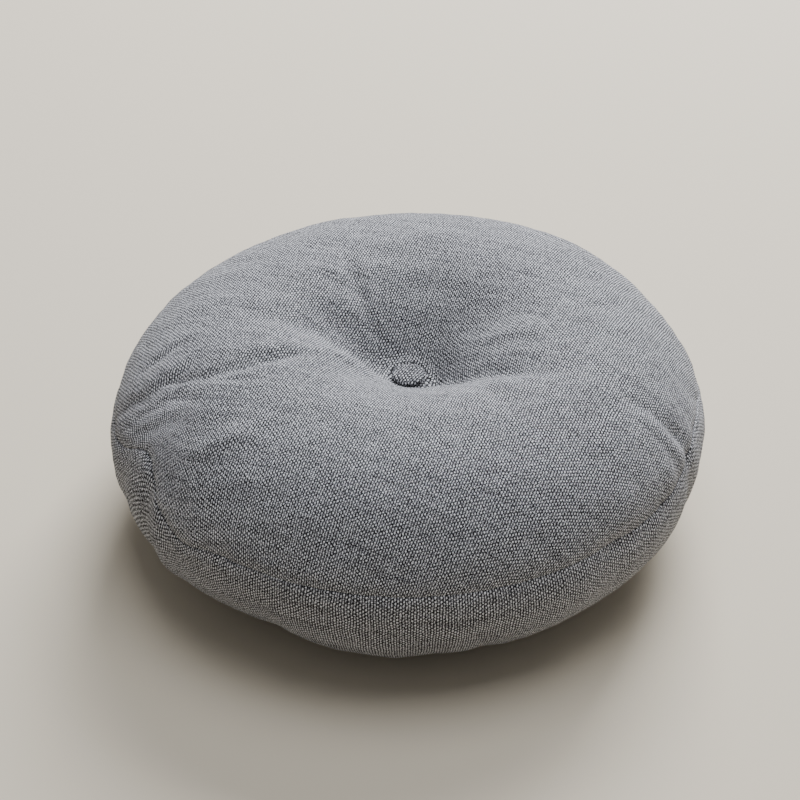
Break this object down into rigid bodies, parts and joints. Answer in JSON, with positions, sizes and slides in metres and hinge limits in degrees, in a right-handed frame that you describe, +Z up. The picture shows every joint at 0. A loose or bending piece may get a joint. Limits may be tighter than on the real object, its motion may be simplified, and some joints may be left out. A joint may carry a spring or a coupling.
{
  "type": "meditation cushion",
  "caption": "Round, thick floor cushion with a rounded crown, a deep buttoned dimple, a sewn side band and a flat underside, for sitting in meditation.",
  "frame": {"origin": "middle of the flat underside, on the surface that the cushion rests on", "axes": "+Z up from that surface through the button, -Y to the side that the picture shows in front, +X to the picture's right"},
  "size_m": [0.4526, 0.452, 0.1746],
  "materials": {
    "grey_cloth": "slubby, heathered plain weave in cool mid grey, matt",
    "button_cloth": "the same grey plain weave, drawn tight over a domed button, matt"
  },
  "bodies": {
    "root": {"cushion": "grey_cloth", "button": "button_cloth"}
  },
  "joints": []
}
